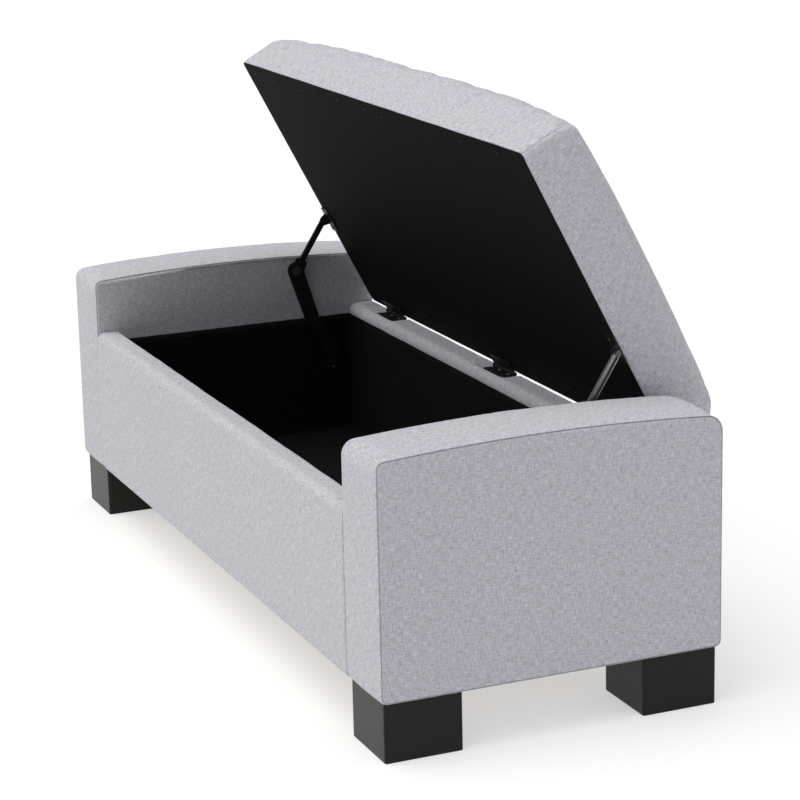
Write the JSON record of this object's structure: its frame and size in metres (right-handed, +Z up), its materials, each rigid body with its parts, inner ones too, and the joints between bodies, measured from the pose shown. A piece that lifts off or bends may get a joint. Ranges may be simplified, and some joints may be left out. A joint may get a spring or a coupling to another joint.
{
  "type": "storage bench",
  "caption": "Upholstered storage bench with two block arms, dark block legs and a padded lid on three butt hinges, held open by a folding stay at each end.",
  "frame": {"origin": "centre of the stored object's outline on the floor, with the lid open", "axes": "+X along the bench, -Y the front where the lid opens, +Z up; the body's own middle lies 39.7 mm towards -Y, because the open lid leans out behind"},
  "size_m": [1.3, 0.5656, 0.7737],
  "materials": {
    "fabric": "matte woven polyester, linen look, light grey",
    "lining": "matte black nonwoven",
    "foam": "matte upholstery foam and wadding",
    "board": "raw plywood and pine frame board",
    "leg_wood": "satin near-black stain and lacquer",
    "black_steel": "satin black paint",
    "bright_steel": "bare pressed steel",
    "zinc_steel": "zinc plated"
  },
  "bodies": {
    "bench": {"arm_cover_left": "fabric", "arm_pad_left": "foam", "arm_board_outer_left": "board", "arm_board_inner_left": "board", "arm_board_top_left": "board", "arm_board_front_left": "board", "arm_board_back_left": "board", "arm_board_base_left": "board", "arm_cover_right": "fabric", "arm_pad_right": "foam", "arm_board_outer_right": "board", "arm_board_inner_right": "board", "arm_board_top_right": "board", "arm_board_front_right": "board", "arm_board_back_right": "board", "arm_board_base_right": "board", "leg_front_left": "leg_wood", "leg_back_left": "leg_wood", "leg_front_right": "leg_wood", "leg_back_right": "leg_wood", "leg_bolt_front_left": "zinc_steel", "leg_bolt_back_left": "zinc_steel", "leg_bolt_front_right": "zinc_steel", "leg_bolt_back_right": "zinc_steel", "front_panel_cover": "fabric", "front_panel_pad": "foam", "front_panel_board": "board", "back_panel_cover": "fabric", "back_panel_pad": "foam", "back_panel_board": "board", "bottom_board": "board", "box_lining": "lining", "hinge_rail_leaf_left": "black_steel", "hinge_rail_leaf_middle": "black_steel", "hinge_rail_leaf_right": "black_steel", "hinge_pin_left": "black_steel", "hinge_pin_middle": "black_steel", "hinge_pin_right": "black_steel", "stay_base_plate_left": "black_steel", "stay_base_plate_right": "black_steel", "stay_base_rivet_left": "zinc_steel", "stay_base_rivet_right": "zinc_steel"},
    "lid": {"lid_cover": "fabric", "lid_foam": "foam", "lid_board": "board", "lid_lining": "lining", "hinge_lid_leaf_left": "black_steel", "hinge_lid_leaf_middle": "black_steel", "hinge_lid_leaf_right": "black_steel", "stay_lid_bracket_left": "black_steel", "stay_lid_bracket_right": "black_steel", "stay_lid_rivet_left": "zinc_steel", "stay_lid_rivet_right": "zinc_steel"},
    "stay_lower_left": {"stay_lower_arm_left": "black_steel", "stay_knee_rivet_left": "zinc_steel"},
    "stay_upper_left": {"stay_upper_arm_left": "black_steel"},
    "stay_lower_right": {"stay_lower_arm_right": "bright_steel", "stay_knee_rivet_right": "zinc_steel"},
    "stay_upper_right": {"stay_upper_arm_right": "bright_steel"}
  },
  "joints": [
    {"name": "lid_hinge", "type": "hinge", "parent": "bench", "child": "lid", "pos_m": [0, 0.19834, 0.313], "axis": [1, 0, 0], "range_deg": [0, 62.5]},
    {"name": "stay_base_left", "type": "hinge", "parent": "bench", "child": "stay_lower_left", "pos_m": [-0.5294, 0.12874, 0.2328], "axis": [1, 0, 0], "range_deg": [0, 66.3]},
    {"name": "stay_top_left", "type": "hinge", "parent": "lid", "child": "stay_upper_left", "pos_m": [-0.5253, 0.11424, 0.462], "axis": [1, 0, 0], "range_deg": [-70.7, 0]},
    {"name": "stay_base_right", "type": "hinge", "parent": "bench", "child": "stay_lower_right", "pos_m": [0.5294, 0.12874, 0.2328], "axis": [1, 0, 0], "range_deg": [0, 66.3]},
    {"name": "stay_top_right", "type": "hinge", "parent": "lid", "child": "stay_upper_right", "pos_m": [0.5253, 0.11424, 0.462], "axis": [1, 0, 0], "range_deg": [-70.7, 0]}
  ],
  "couplings": [
    {"joint": "stay_base_left", "follows": "lid_hinge", "ratio": 1.0506},
    {"joint": "stay_top_left", "follows": "lid_hinge", "ratio": -1.122},
    {"joint": "stay_base_right", "follows": "lid_hinge", "ratio": 1.0506},
    {"joint": "stay_top_right", "follows": "lid_hinge", "ratio": -1.122}
  ]
}
